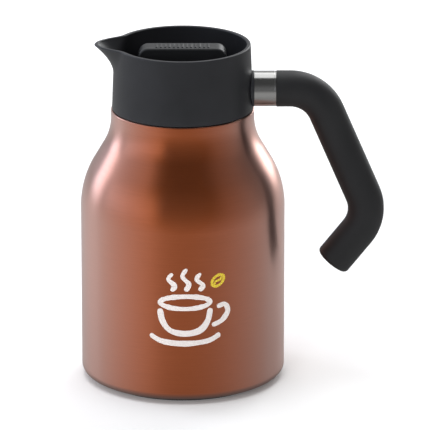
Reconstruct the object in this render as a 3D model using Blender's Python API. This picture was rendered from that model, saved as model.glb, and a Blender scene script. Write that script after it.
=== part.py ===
"""A double-walled insulated serving jug with a lift-out stopper.

The steel body holds a vacuum between two vessels. A moulded collar with a pouring spout snaps over its
neck and carries a tubular handle that is fixed at its upper end only. The stopper lifts straight out of
the collar, and its cap turns a quarter turn to line a window up with the pouring channel.

Lengths here are in millimetres and angles in degrees; add_part() turns them into metres. The origin is
the centre of the base, +Z is up, the spout points to -X and the handle to +X.
"""

import math

import bmesh
import bpy

MM = 0.001
ROUND = 32  # facets round the body, a multiple of 4
SMALL_ROUND = 16  # facets round screws and small seals
FERRULE_ROUND = 24
PIN_ROUND = 12
SHARP_ANGLE = 35
GAP = 0.3  # between pieces that touch
CUT_PAST = 5.0  # how far a cutter runs past what it cuts

# Steel body
BODY_R = 62.0
OUTER_WALL = 0.9
BASE_Z = 2.2  # underside of the steel, above the foot pad
BASE_FILLET = 5.3
BASE_OPENING_R = 54.0
FOOT_R = 53.6
FOOT_CHAMFER = 0.8
PLATE_R = 57.5
DIMPLE_R = 7.0
DIMPLE_RISE = 3.0
DIMPLE_SLOPE = 2.5
DIMPLE_HOLE_R = 1.2
VACUUM_PLUG_R = 3.2
VACUUM_PLUG_HEAD = 1.7
VACUUM_PLUG_STANDS_IN = 0.7
GETTER_R = 6.0
GETTER_DEPTH = 2.3
GETTER_X = 25.0
OUTER_SHOULDER = {"start_z": 107.8, "convex": 56.7, "turn": 30.6, "straight": 11.6, "concave": 34.6}
NECK_TOP_Z = 169.0
NECK_EDGE = 0.6
COLLAR_SEAT_R = 38.0  # the narrower tube that the collar snaps over
SEAT_TOP_Z = 185.9
GROOVE_DEPTH = 0.7
GROOVE_Z = 176.2
GROOVE_HALF = 1.0

# Inner vessel
VESSEL_R = 57.0
INNER_WALL = 0.8
VESSEL_FLOOR_Z = 12.0
VESSEL_FILLET = 8.0
INNER_SHOULDER = {"start_z": 104.0, "convex": 52.0, "turn": 31.0, "straight": 20.4, "concave": 30.0}
MOUTH_TOP_Z = 187.0
MOUTH_LIP_R = 38.2
MOUTH_CLEAR_R = 34.4  # bore of what sits on the mouth's lip

# Collar and spout
COLLAR_Z = 169.4
TOP_Z = 209.5
COLLAR_FOOT_R = 42.8
COLLAR_RIM_R = 41.2
COLLAR_WALL = 2.5
COLLAR_BORE_R = 39.9
COLLAR_STEP_Z = 190.2
COLLAR_EDGE = 0.5
COLLAR_LEVELS = 5  # bands of facets up the spout, lower towards the rim
SPOUT_Z = 192.0
SPOUT_REACH = 12.8
SPOUT_CURVE = 1.72
SPOUT_SPREAD_LOW = 18.0
SPOUT_SPREAD_RIM = 30.0
LINER_R = 39.6
LINER_WALL = 1.0
LINER_FLOOR_Z = 188.5
LINER_FLOOR = 1.1
BEAD_HALF = 0.5
BEAD_SLOPE = 0.9
BEAD_CLEAR = 0.4  # between the bead and the groove it snaps into

# Handle, fixed at +X
HANDLE_Z = 181.3
ROOT_R = 11.0
ROOT_X = 43.3  # outer face of the root washer
ROOT_DEPTH = 5.0  # before its back is hollowed
FERRULE_R = 10.8
FERRULE_WALL = 1.1
FERRULE_END_X = 56.3
GRIP_R = 11.0
GRIP_BORE_R = 7.8
GRIP_EDGE = 2.5
CORE_R = 7.5
BEND_R = 24.0
BEND_1_X = 80.8  # where the first two centre lines would cross
LEG_1_LEAN = 23.4
LEG_1_DROP = 79.6
LEG_2_LEAN = 38.5
LEG_2_DROP = 30.5
CORE_END_GAP = 4.0
GRIP_BORE_END_GAP = 3.0
CORE_BORE_END_X = 64.0
SCREW_R = 2.9
SCREW_HEAD_R = 5.4
SCREW_X = 38.5
SCREW_HEAD = 1.2
SCREW_HEAD_CLEAR = 0.5  # round the head, in the collar and its liner
SCREW_RECESS_R = 2.2
SCREW_RECESS = 0.5
SCREW_END_X = 62.0
SCREW_POCKET_X = 41.0
SPRING_WASHER_R = 5.1
SPRING_WASHER = 0.7
INSERT_R = 4.4
INSERT_X = (44.0, 60.0)
PIN_R = 0.9
PIN_OFFSET = 7.6
PIN_X = (41.3, 50.2)
THROUGH_START, THROUGH_END = 30.0, 60.0  # how far a hole through the collar's wall is cut

# Stopper
FLANGE_Z = 189.9
FLANGE_TOP_Z = 191.1
FLANGE_R = 37.5
PLUG_R = 32.6
PLUG_WALL = 2.6
PLUG_BOTTOM_Z = 158.3
DECK = 1.5
SEAL_Z = 173.1
SEAL_HALF = 4.8
SEAL_GROOVE = 1.2
SEAL_STANDS_OUT = 0.3
SEAL_LIP = 1.1
SEAL_LIPS_Z = (-2.2, 2.6)  # crests of its two lips about its middle
SEAL_WAIST_Z = (-1.2, 1.6)  # the plain stretch between them
COVER = 1.4
FOAM_BORE_R = 9.5
VALVE_GASKET_R = (6.5, 34.6)
STEM_R = 5.0
PILLAR_R = 7.3
PILLAR_Z = 184.0
CHANNEL_X = 24.0  # centre of the pouring channel, towards the spout
CHANNEL_HALF_X = 5.0
CHANNEL_HALF_Y = 9.0
CHANNEL_CORNER = 4.5
CHANNEL_WALL = 1.5
CHANNEL_STANDS_OUT = 0.5  # of the housing's lower end
GASKET_CLEAR = 0.5  # round the channel, in the valve gasket
STOP_R = 35.9
STOP_PIN_R = 0.8
STOP_CLEAR = 0.4
STOP_MARGIN = 2.0  # degrees of notch left at each end of the travel
STOP_ANGLE = 225.0
CAP_TRAVEL = 90.0

# Cap and its grip bar
CAP_Z = 192.5
CAP_TOP_Z = 194.0
CAP_R = 36.8
BAR_HALF_X = 26.6
BAR_HALF_Y = 6.8
BAR_TOP_Z = 208.5
BAR_CORNER = 6.0
BAR_BEVEL = 1.2
BAR_SUNK = 0.5  # in the disc, so that the two join
STEM_Z = 181.5
STEM_SEAL_Z = 187.1
STEM_SEAL_R = (4.6, 0.4)  # to the middle of the ring, and its thickness
STEM_GROOVE_R = 3.9
STEM_GROOVE_HALF = 0.8
STEM_GROOVE_SLOPE = 0.2
SPINDLE_SCREW_R = 1.5
SPINDLE_HEAD_R = 3.8
SPINDLE_HEAD = 1.7
SPINDLE_SCREW_TOP_Z = 195.5
SPINDLE_HOLE_TOP_Z = 197.0
SPINDLE_WASHER = 0.9
SPRING_CLEAR = 0.4  # between the stem and the spring round it


def make_material(name, colour, roughness, metallic=0.0):
    material = bpy.data.materials.new(name)
    material.use_nodes = True
    shader = material.node_tree.nodes["Principled BSDF"]
    shader.inputs["Base Color"].default_value = (*colour, 1.0)
    shader.inputs["Roughness"].default_value = roughness
    shader.inputs["Metallic"].default_value = metallic
    return material


def arc(centre, radius, start, end, steps):
    """Points along an arc, counted from the first axis towards the second."""
    angles = [math.radians(start + (end - start) * i / steps) for i in range(steps + 1)]
    return [(centre[0] + radius * math.cos(a), centre[1] + radius * math.sin(a)) for a in angles]


def turned(profile, segments=ROUND):
    """A profile of (radius, height) turned about Z. It starts and ends on the axis, or is a closed loop."""
    mesh = bmesh.new()
    points = [mesh.verts.new((radius, 0, height)) for radius, height in profile]
    pairs = list(zip(points, points[1:]))
    if profile[0][0] > 0:
        pairs.append((points[-1], points[0]))
    edges = [mesh.edges.new(pair) for pair in pairs]
    bmesh.ops.spin(
        mesh,
        geom=points + edges,
        cent=(0, 0, 0),
        axis=(0, 0, 1),
        angle=math.tau,
        steps=segments,
        use_merge=True,
    )
    bmesh.ops.remove_doubles(mesh, verts=mesh.verts, dist=0.001)
    bmesh.ops.recalc_face_normals(mesh, faces=mesh.faces)
    return mesh


def lofted(rings, wrap=False):
    """A skin through rings of points, capped at its two ends or, with wrap, joined end to start."""
    mesh = bmesh.new()
    loops = [[mesh.verts.new(point) for point in ring] for ring in rings]
    pairs = list(zip(loops, loops[1:]))
    if wrap:
        pairs.append((loops[-1], loops[0]))
    else:
        mesh.faces.new(loops[0])
        mesh.faces.new(loops[-1])
    for first, second in pairs:
        for i in range(len(first)):
            j = (i + 1) % len(first)
            mesh.faces.new((first[i], first[j], second[j], second[i]))
    bmesh.ops.recalc_face_normals(mesh, faces=mesh.faces)
    return mesh


def prism(outline, low, high):
    return lofted([[(x, y, z) for x, y in outline] for z in (low, high)])


def rod(radius, low, high, segments=SMALL_ROUND):
    return turned([(0, low), (radius, low), (radius, high), (0, high)], segments)


def ring(inner, outer, low, high, segments=ROUND):
    return turned([(inner, low), (outer, low), (outer, high), (inner, high)], segments)


def window(grow=0.0):
    """Outline of the pouring channel about its own centre, grown by a margin."""
    corner = CHANNEL_CORNER + grow
    points = []
    for turn in range(4):
        side_x = 1 if turn in (0, 3) else -1
        side_y = 1 if turn in (0, 1) else -1
        centre = (
            side_x * (CHANNEL_HALF_X - CHANNEL_CORNER),
            side_y * (CHANNEL_HALF_Y - CHANNEL_CORNER),
        )
        points += arc(centre, corner, 90 * turn, 90 * turn + 90, 3)
    return points


def link(name, mesh, parent, location, rotation):
    bmesh.ops.scale(mesh, vec=(MM, MM, MM), verts=mesh.verts)
    data = bpy.data.meshes.new(name)
    mesh.to_mesh(data)
    mesh.free()
    data.shade_smooth()
    data.set_sharp_from_angle(angle=math.radians(SHARP_ANGLE))
    obj = bpy.data.objects.new(name, data)
    obj.location = [MM * value for value in location]
    obj.rotation_euler = [math.radians(value) for value in rotation]
    obj.parent = parent
    bpy.context.scene.collection.objects.link(obj)
    return obj


def add_part(name, mesh, material, group, location=(0, 0, 0), rotation=(0, 0, 0)):
    part = link(name, mesh, group, location, rotation)
    part.data.materials.append(material)
    return part


def add_tool(part, operation, mesh, location=(0, 0, 0), rotation=(0, 0, 0)):
    """Joins a helper shape to a part, or cuts it away."""
    tool = link(f"{part.name}_{operation.lower()}_{len(part.modifiers)}", mesh, None, location, rotation)
    tool.hide_render = True
    tool.display_type = "WIRE"
    boolean = part.modifiers.new(tool.name, "BOOLEAN")
    boolean.operation = operation
    boolean.object = tool


def cut(part, mesh, location=(0, 0, 0), rotation=(0, 0, 0)):
    add_tool(part, "DIFFERENCE", mesh, location, rotation)


def join(part, mesh, location=(0, 0, 0), rotation=(0, 0, 0)):
    add_tool(part, "UNION", mesh, location, rotation)


ALONG_X = {"location": (0, 0, HANDLE_Z), "rotation": (0, 90, 0)}


def pin_places():
    """Where the two locating pins lie, below and above the screw, pointing along X."""
    heights = (HANDLE_Z - PIN_OFFSET, HANDLE_Z + PIN_OFFSET)
    return [{"location": (0, 0, z), "rotation": ALONG_X["rotation"]} for z in heights]


def cut_pin_holes(part, start, end):
    for place in pin_places():
        cut(part, rod(PIN_R + GAP, start, end), **place)


def shoulder(radius, wall, start_z, convex, turn, straight, concave):
    """The curve from a cylinder up to its neck, moved inwards by a wall: out, straight, then in."""
    steps = 4
    sine, cosine = math.sin(math.radians(turn)), math.cos(math.radians(turn))
    low = arc((radius - convex, start_z), convex - wall, 0, turn, steps)
    hollow_centre = (
        radius - convex * (1 - cosine) - straight * sine + concave * cosine,
        start_z + convex * sine + straight * cosine + concave * sine,
    )
    return low + arc(hollow_centre, concave + wall, 180 + turn, 180, steps)


def outer_shell(group, steel):
    outside = shoulder(BODY_R, 0, **OUTER_SHOULDER)
    inside = shoulder(BODY_R, OUTER_WALL, **OUTER_SHOULDER)
    neck_r = outside[-1][0]
    fillet_centre = (BODY_R - BASE_FILLET, BASE_Z + BASE_FILLET)
    inner_seat_r = COLLAR_SEAT_R - OUTER_WALL
    groove_foot = GROOVE_Z - GROOVE_HALF - GROOVE_DEPTH
    groove_head = GROOVE_Z + GROOVE_HALF + GROOVE_DEPTH
    profile = [(BASE_OPENING_R, BASE_Z)]
    profile += arc(fillet_centre, BASE_FILLET, -90, 0, 3)
    profile += outside
    profile += arc((neck_r - NECK_EDGE, NECK_TOP_Z - NECK_EDGE), NECK_EDGE, 0, 90, 2)
    profile += [
        (COLLAR_SEAT_R, NECK_TOP_Z),
        (COLLAR_SEAT_R, groove_foot),
        (COLLAR_SEAT_R - GROOVE_DEPTH, GROOVE_Z - GROOVE_HALF),
        (COLLAR_SEAT_R - GROOVE_DEPTH, GROOVE_Z + GROOVE_HALF),
        (COLLAR_SEAT_R, groove_head),
        (COLLAR_SEAT_R, SEAT_TOP_Z),
        (inner_seat_r, SEAT_TOP_Z),
        (inner_seat_r, groove_head),
        (inner_seat_r - GROOVE_DEPTH, GROOVE_Z + GROOVE_HALF),
        (inner_seat_r - GROOVE_DEPTH, GROOVE_Z - GROOVE_HALF),
        (inner_seat_r, groove_foot),
        (inner_seat_r, NECK_TOP_Z - OUTER_WALL),
        (neck_r - OUTER_WALL, NECK_TOP_Z - OUTER_WALL),
    ]
    profile += reversed(inside)
    profile += reversed(arc(fillet_centre, BASE_FILLET - OUTER_WALL, -90, 0, 3))
    profile += [(BASE_OPENING_R, BASE_Z + OUTER_WALL)]
    add_part("outer_shell", turned(profile), steel, group)


def inner_vessel(group, steel):
    outside = shoulder(VESSEL_R, 0, **INNER_SHOULDER)
    inside = shoulder(VESSEL_R, INNER_WALL, **INNER_SHOULDER)
    neck_r = outside[-1][0]
    fillet_centre = (VESSEL_R - VESSEL_FILLET, VESSEL_FLOOR_Z + VESSEL_FILLET)
    profile = [(0, VESSEL_FLOOR_Z)]
    profile += arc(fillet_centre, VESSEL_FILLET, -90, 0, 3)
    profile += outside
    profile += [
        (neck_r, MOUTH_TOP_Z - INNER_WALL),
        (MOUTH_LIP_R, MOUTH_TOP_Z - INNER_WALL),
        (MOUTH_LIP_R, MOUTH_TOP_Z),
        (neck_r, MOUTH_TOP_Z),
        (neck_r - INNER_WALL, MOUTH_TOP_Z - INNER_WALL),
    ]
    profile += reversed(inside)
    profile += reversed(arc(fillet_centre, VESSEL_FILLET - INNER_WALL, -90, 0, 3))
    profile += [(0, VESSEL_FLOOR_Z + INNER_WALL)]
    add_part("inner_vessel", turned(profile), steel, group)


def base_pieces(group, steel, silicone, brass):
    foot_top = BASE_Z + OUTER_WALL
    plate_z = foot_top + GAP
    foot = [
        (0, 0),
        (FOOT_R - FOOT_CHAMFER, 0),
        (FOOT_R, FOOT_CHAMFER),
        (FOOT_R, foot_top),
        (0, foot_top),
    ]
    add_part("base_foot", turned(foot), silicone, group)
    dimple_z = plate_z + DIMPLE_RISE
    plate_top = plate_z + OUTER_WALL
    bend = 0.4
    plate = [
        (DIMPLE_HOLE_R, dimple_z),
        (DIMPLE_R, dimple_z),
        (DIMPLE_R + DIMPLE_SLOPE, plate_z),
        (PLATE_R, plate_z),
        (PLATE_R, plate_top),
        (DIMPLE_R + DIMPLE_SLOPE + bend, plate_top),
        (DIMPLE_R + bend, dimple_z + OUTER_WALL),
        (DIMPLE_HOLE_R, dimple_z + OUTER_WALL),
    ]
    add_part("base_plate", turned(plate), steel, group)
    stem_r = DIMPLE_HOLE_R - GAP
    head_top = dimple_z - GAP
    head_z = head_top - VACUUM_PLUG_HEAD
    stem_top = dimple_z + OUTER_WALL + VACUUM_PLUG_STANDS_IN
    sealed = [
        (0, head_z),
        (VACUUM_PLUG_R, head_z),
        (VACUUM_PLUG_R, head_top),
        (stem_r, head_top),
        (stem_r, stem_top),
        (0, stem_top),
    ]
    add_part("vacuum_plug", turned(sealed, SMALL_ROUND), brass, group)
    getter_top = VESSEL_FLOOR_Z - GAP
    getter_z = getter_top - GETTER_DEPTH
    chamfer = 0.6
    getter = [
        (0, getter_z),
        (GETTER_R - chamfer, getter_z),
        (GETTER_R, getter_z + chamfer),
        (GETTER_R, getter_top),
        (0, getter_top),
    ]
    add_part("getter", turned(getter, SMALL_ROUND), steel, group, (GETTER_X, 0, 0))


def collar_radius(angle, z):
    """The collar's outer radius, which swells into the spout about 180 degrees."""
    share = (z - COLLAR_Z) / (TOP_Z - COLLAR_Z)
    radius = COLLAR_FOOT_R + (COLLAR_RIM_R - COLLAR_FOOT_R) * share
    rise = max(0.0, (z - SPOUT_Z) / (TOP_Z - SPOUT_Z))
    spread = SPOUT_SPREAD_LOW + (SPOUT_SPREAD_RIM - SPOUT_SPREAD_LOW) * rise
    off_spout = abs(angle - 180)
    if off_spout < spread:
        radius += SPOUT_REACH * rise**SPOUT_CURVE * math.cos(math.radians(90 * off_spout / spread)) ** 2
    return radius


def collar_angles():
    """Angles round the collar, twice as close across the spout."""
    step = 360 / ROUND
    angles = []
    for i in range(ROUND):
        angles.append(i * step)
        if abs((i + 0.5) * step - 180) < SPOUT_SPREAD_RIM:
            angles.append((i + 0.5) * step)
    return angles


def collar_ring(z, inset, from_z=None):
    """A ring at height z, inset from the outer skin as it stands at from_z."""
    points = []
    for angle in collar_angles():
        radius = collar_radius(angle, z if from_z is None else from_z) - inset
        points.append((radius * math.cos(math.radians(angle)), radius * math.sin(math.radians(angle)), z))
    return points


def plain_ring(radius, z):
    return [
        (radius * math.cos(math.radians(a)), radius * math.sin(math.radians(a)), z) for a in collar_angles()
    ]


def collar_shell(group, plastic):
    skin_top = TOP_Z - COLLAR_EDGE
    crowding = 0.8
    shares = [(i / COLLAR_LEVELS) ** crowding for i in range(COLLAR_LEVELS + 1)]
    levels = [SPOUT_Z + (skin_top - SPOUT_Z) * share for share in shares]
    rings = [plain_ring(COLLAR_BORE_R, COLLAR_Z), collar_ring(COLLAR_Z, COLLAR_EDGE)]
    rings += [collar_ring(COLLAR_Z + COLLAR_EDGE, 0.0)]
    rings += [collar_ring(z, 0.0) for z in levels]
    rings += [collar_ring(TOP_Z, inset, skin_top) for inset in (COLLAR_EDGE, COLLAR_WALL - COLLAR_EDGE)]
    rings += [collar_ring(z, COLLAR_WALL) for z in reversed(levels)]
    rings += [collar_ring(COLLAR_STEP_Z, COLLAR_WALL), plain_ring(COLLAR_BORE_R, COLLAR_STEP_Z)]
    collar = add_part("collar_shell", lofted(rings, wrap=True), plastic, group)
    cut(collar, rod(SCREW_R + GAP, THROUGH_START, THROUGH_END), **ALONG_X)
    cut(collar, rod(SCREW_HEAD_R + SCREW_HEAD_CLEAR, THROUGH_START, SCREW_POCKET_X), **ALONG_X)
    cut_pin_holes(collar, SCREW_POCKET_X, THROUGH_END)


def collar_liner(group, plastic):
    inner_r = LINER_R - LINER_WALL
    bead_r = COLLAR_SEAT_R - GROOVE_DEPTH + BEAD_CLEAR
    foot_z = COLLAR_Z + GAP
    floor_top = LINER_FLOOR_Z + LINER_FLOOR
    profile = [
        (LINER_R, foot_z),
        (LINER_R, floor_top),
        (MOUTH_CLEAR_R, floor_top),
        (MOUTH_CLEAR_R, LINER_FLOOR_Z),
        (inner_r, LINER_FLOOR_Z),
        (inner_r, GROOVE_Z + BEAD_HALF + BEAD_SLOPE),
        (bead_r, GROOVE_Z + BEAD_HALF),
        (bead_r, GROOVE_Z - BEAD_HALF),
        (inner_r, GROOVE_Z - BEAD_HALF - BEAD_SLOPE),
        (inner_r, foot_z),
    ]
    liner = add_part("collar_liner", turned(profile), plastic, group)
    cut(liner, rod(SCREW_HEAD_R + SCREW_HEAD_CLEAR, THROUGH_START, THROUGH_END), **ALONG_X)


def collar_pieces(group, plastic, silicone):
    collar_shell(group, plastic)
    collar_liner(group, plastic)
    gasket = ring(MOUTH_CLEAR_R, MOUTH_LIP_R, MOUTH_TOP_Z + GAP, LINER_FLOOR_Z - GAP)
    add_part("neck_gasket", gasket, silicone, group)


def grip_path():
    """Points and directions along the handle's centre line, from the ferrule to the free end."""
    lean_1, lean_2 = math.radians(LEG_1_LEAN), math.radians(LEG_2_LEAN)
    corner_1 = (BEND_1_X, HANDLE_Z)
    corner_2 = (corner_1[0] + LEG_1_DROP * math.tan(lean_1), HANDLE_Z - LEG_1_DROP)
    end = (corner_2[0] - LEG_2_DROP * math.tan(lean_2), corner_2[1] - LEG_2_DROP)
    headings = [0, LEG_1_LEAN - 90, -90 - LEG_2_LEAN]
    path = [(FERRULE_END_X + GAP, HANDLE_Z, headings[0])]
    for corner, before, after in zip((corner_1, corner_2), headings, headings[1:]):
        reach = BEND_R * math.tan(math.radians((before - after) / 2))
        heading = math.radians(before)
        start = (corner[0] - reach * math.cos(heading), corner[1] - reach * math.sin(heading))
        centre = (start[0] + BEND_R * math.sin(heading), start[1] - BEND_R * math.cos(heading))
        steps = 5
        for i, point in enumerate(arc(centre, BEND_R, before + 90, after + 90, steps)):
            path.append((*point, before + (after - before) * i / steps))
    path.append((*end, headings[2]))
    return path


def tube_ring(station, radius, back=0.0, sides=SMALL_ROUND):
    """A ring square to the handle's centre line, moved back along it."""
    x, z, heading = station
    heading = math.radians(heading)
    x, z = x - back * math.cos(heading), z - back * math.sin(heading)
    points = []
    for i in range(sides):
        turn = math.tau * i / sides
        side = radius * math.cos(turn)
        points.append((x - side * math.sin(heading), radius * math.sin(turn), z + side * math.cos(heading)))
    return points


def handle_grip(group, soft):
    path = grip_path()
    end = path[-1]
    rings = [tube_ring(end, GRIP_BORE_R, GRIP_BORE_END_GAP)]
    rings += [tube_ring(station, GRIP_BORE_R) for station in reversed(path[:-1])]
    rings += [tube_ring(station, GRIP_R) for station in path[:-1]]
    for depth, radius in arc((GRIP_EDGE, GRIP_R - GRIP_EDGE), GRIP_EDGE, 90, 180, 3):
        rings.append(tube_ring(end, radius, depth))
    add_part("handle_grip", lofted(rings), soft, group)


def handle_core(group, metal):
    path = grip_path()
    root = (ROOT_X + GAP, HANDLE_Z, 0)
    spigot_r = FERRULE_R - FERRULE_WALL - GAP
    spigot_end = (FERRULE_END_X - GAP, HANDLE_Z, 0)
    bore_end = (CORE_BORE_END_X, HANDLE_Z, 0)
    rings = [
        tube_ring(bore_end, INSERT_R + GAP),
        tube_ring(root, INSERT_R + GAP),
        tube_ring(root, spigot_r),
        tube_ring(spigot_end, spigot_r),
        tube_ring(spigot_end, CORE_R),
    ]
    rings += [tube_ring(station, CORE_R) for station in path[1:-1]]
    rings += [tube_ring(path[-1], CORE_R, CORE_END_GAP)]
    core = add_part("handle_core", lofted(rings), metal, group)
    cut_pin_holes(core, THROUGH_START, PIN_X[1] + GAP)


def handle_root_washer(group, plastic):
    """A saddle washer, flat towards the ferrule and hollowed to the collar's cone."""
    blank = rod(ROOT_R, ROOT_X - ROOT_DEPTH, ROOT_X, FERRULE_ROUND)
    washer = add_part("handle_root_washer", blank, plastic, group, **ALONG_X)
    cone = [
        (0, COLLAR_Z),
        (COLLAR_FOOT_R + GAP, COLLAR_Z),
        (COLLAR_RIM_R + GAP, TOP_Z),
        (0, TOP_Z),
    ]
    cut(washer, turned(cone))
    cut(washer, rod(SCREW_R + GAP, THROUGH_START, THROUGH_END), **ALONG_X)
    cut_pin_holes(washer, THROUGH_START, THROUGH_END)


def handle_fasteners(group, steel, brass):
    ferrule_bore = FERRULE_R - FERRULE_WALL
    edge = 0.4
    start, end = ROOT_X + GAP, FERRULE_END_X
    ferrule = [
        (ferrule_bore, start),
        (FERRULE_R - edge, start),
        (FERRULE_R, start + edge),
        (FERRULE_R, end - edge),
        (FERRULE_R - edge, end),
        (ferrule_bore, end),
    ]
    add_part("handle_ferrule", turned(ferrule, FERRULE_ROUND), steel, group, **ALONG_X)
    head_end = SCREW_X + SCREW_HEAD
    screw = [
        (0, SCREW_X + SCREW_RECESS),
        (SCREW_RECESS_R, SCREW_X + SCREW_RECESS),
        (SCREW_RECESS_R, SCREW_X),
        (SCREW_HEAD_R, SCREW_X),
        (SCREW_HEAD_R, head_end),
        (SCREW_R, head_end),
        (SCREW_R, SCREW_END_X),
        (0, SCREW_END_X),
    ]
    add_part("handle_screw", turned(screw, SMALL_ROUND), steel, group, **ALONG_X)
    washer_x = head_end + GAP
    washer = ring(SCREW_R + GAP, SPRING_WASHER_R, washer_x, washer_x + SPRING_WASHER, SMALL_ROUND)
    add_part("handle_spring_washer", washer, steel, group, **ALONG_X)
    insert = ring(SCREW_R + GAP, INSERT_R, *INSERT_X, SMALL_ROUND)
    add_part("handle_insert", insert, brass, group, **ALONG_X)
    for number, place in enumerate(pin_places(), 1):
        add_part(f"locating_pin_{number}", rod(PIN_R, *PIN_X, PIN_ROUND), steel, group, **place)


def channel_shape(grow=0.0, low=PLUG_BOTTOM_Z - CUT_PAST, high=CAP_TOP_Z + CUT_PAST):
    return prism([(x - CHANNEL_X, y) for x, y in window(grow)], low, high)


def plug_housing(group, plastic):
    groove_r = PLUG_R - SEAL_GROOVE
    inner_r = PLUG_R - PLUG_WALL
    deck_z = FLANGE_TOP_Z - DECK
    bore_r = STEM_R + GAP
    profile = [
        (bore_r, PILLAR_Z),
        (bore_r, FLANGE_TOP_Z),
        (FLANGE_R, FLANGE_TOP_Z),
        (FLANGE_R, FLANGE_Z),
        (PLUG_R, FLANGE_Z),
        (PLUG_R, SEAL_Z + SEAL_HALF),
        (groove_r, SEAL_Z + SEAL_HALF),
        (groove_r, SEAL_Z - SEAL_HALF),
        (PLUG_R, SEAL_Z - SEAL_HALF),
        (PLUG_R, PLUG_BOTTOM_Z),
        (inner_r, PLUG_BOTTOM_Z),
        (inner_r, deck_z),
        (PILLAR_R, deck_z),
        (PILLAR_R, PILLAR_Z),
    ]
    housing = add_part("plug_housing", turned(profile), plastic, group)
    join(housing, channel_shape(CHANNEL_WALL, PLUG_BOTTOM_Z - CHANNEL_STANDS_OUT, deck_z + DECK / 2))
    cut(housing, channel_shape())
    steps = 9
    first, last = STOP_ANGLE - STOP_MARGIN, STOP_ANGLE + CAP_TRAVEL + STOP_MARGIN
    notch = arc((0, 0), STOP_R - STOP_PIN_R - STOP_CLEAR, first, last, steps)
    notch += arc((0, 0), FLANGE_R + CUT_PAST, last, first, steps)
    cut(housing, prism(notch, FLANGE_Z - 1, FLANGE_TOP_Z + 1))


def plug_pieces(group, plastic, silicone, insulation):
    plug_housing(group, plastic)
    inner_r = PLUG_R - PLUG_WALL - GAP
    back_r = PLUG_R - SEAL_GROOVE + GAP
    base_r, lip_r = PLUG_R + SEAL_STANDS_OUT, PLUG_R + SEAL_LIP
    low, high = SEAL_Z - SEAL_HALF + GAP, SEAL_Z + SEAL_HALF - GAP
    seal = [
        (back_r, low),
        (base_r, low),
        (lip_r, SEAL_Z + SEAL_LIPS_Z[0]),
        (base_r, SEAL_Z + SEAL_WAIST_Z[0]),
        (base_r, SEAL_Z + SEAL_WAIST_Z[1]),
        (lip_r, SEAL_Z + SEAL_LIPS_Z[1]),
        (base_r, high),
        (back_r, high),
    ]
    add_part("plug_seal", turned(seal), silicone, group)
    cover_z = PLUG_BOTTOM_Z + GAP
    tube_grow = CHANNEL_WALL + GAP
    cover = add_part("plug_bottom_cover", rod(inner_r, cover_z, cover_z + COVER, ROUND), plastic, group)
    cut(cover, channel_shape(tube_grow))
    foam = ring(FOAM_BORE_R, inner_r, cover_z + COVER + GAP, FLANGE_TOP_Z - DECK - GAP)
    puck = add_part("plug_insulation", foam, insulation, group)
    cut(puck, channel_shape(tube_grow))
    disc = ring(*VALVE_GASKET_R, FLANGE_TOP_Z + GAP, CAP_Z - GAP)
    gasket = add_part("valve_gasket", disc, silicone, group)
    cut(gasket, channel_shape(GASKET_CLEAR))


def bar_outline(inset):
    """The grip bar from the front, as (x, z), with its lower edge sunk into the cap's disc."""
    corner = BAR_CORNER - inset
    half = BAR_HALF_X - BAR_CORNER
    top = BAR_TOP_Z - BAR_CORNER
    foot_z = CAP_TOP_Z - BAR_SUNK
    points = [(-BAR_HALF_X + inset, foot_z), (BAR_HALF_X - inset, foot_z)]
    points += arc((half, top), corner, 0, 90, 4)
    points += arc((-half, top), corner, 90, 180, 4)
    return points


def grip_bar():
    stations = [
        (-BAR_HALF_Y, BAR_BEVEL),
        (BAR_BEVEL - BAR_HALF_Y, 0.0),
        (BAR_HALF_Y - BAR_BEVEL, 0.0),
        (BAR_HALF_Y, BAR_BEVEL),
    ]
    return lofted([[(x, y, z) for x, z in bar_outline(inset)] for y, inset in stations])


def cap_knob(group, plastic):
    """The disc, its stem with the seal's groove, the grip bar, the window and the stop pin."""
    edge = 0.4
    profile = [
        (0, STEM_Z),
        (STEM_R, STEM_Z),
        (STEM_R, STEM_SEAL_Z - STEM_GROOVE_HALF - STEM_GROOVE_SLOPE),
        (STEM_GROOVE_R, STEM_SEAL_Z - STEM_GROOVE_HALF),
        (STEM_GROOVE_R, STEM_SEAL_Z + STEM_GROOVE_HALF),
        (STEM_R, STEM_SEAL_Z + STEM_GROOVE_HALF + STEM_GROOVE_SLOPE),
        (STEM_R, CAP_Z),
        (CAP_R, CAP_Z),
        (CAP_R, CAP_TOP_Z - edge),
        (CAP_R - edge, CAP_TOP_Z),
        (0, CAP_TOP_Z),
    ]
    knob = add_part("cap_knob", turned(profile), plastic, group)
    join(knob, grip_bar())
    stop_angle = math.radians(STOP_ANGLE)
    stop_place = (STOP_R * math.cos(stop_angle), STOP_R * math.sin(stop_angle), 0)
    join(knob, rod(STOP_PIN_R, FLANGE_Z + STOP_CLEAR, (CAP_Z + CAP_TOP_Z) / 2, PIN_ROUND), stop_place)
    # At rest the window is a quarter turn short of the pouring channel.
    cut(knob, channel_shape(0.0, CAP_Z - GAP, CAP_TOP_Z + CUT_PAST), rotation=(0, 0, -CAP_TRAVEL))
    cut(knob, rod(SPINDLE_SCREW_R + GAP, STEM_Z - CUT_PAST, SPINDLE_HOLE_TOP_Z))


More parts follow.
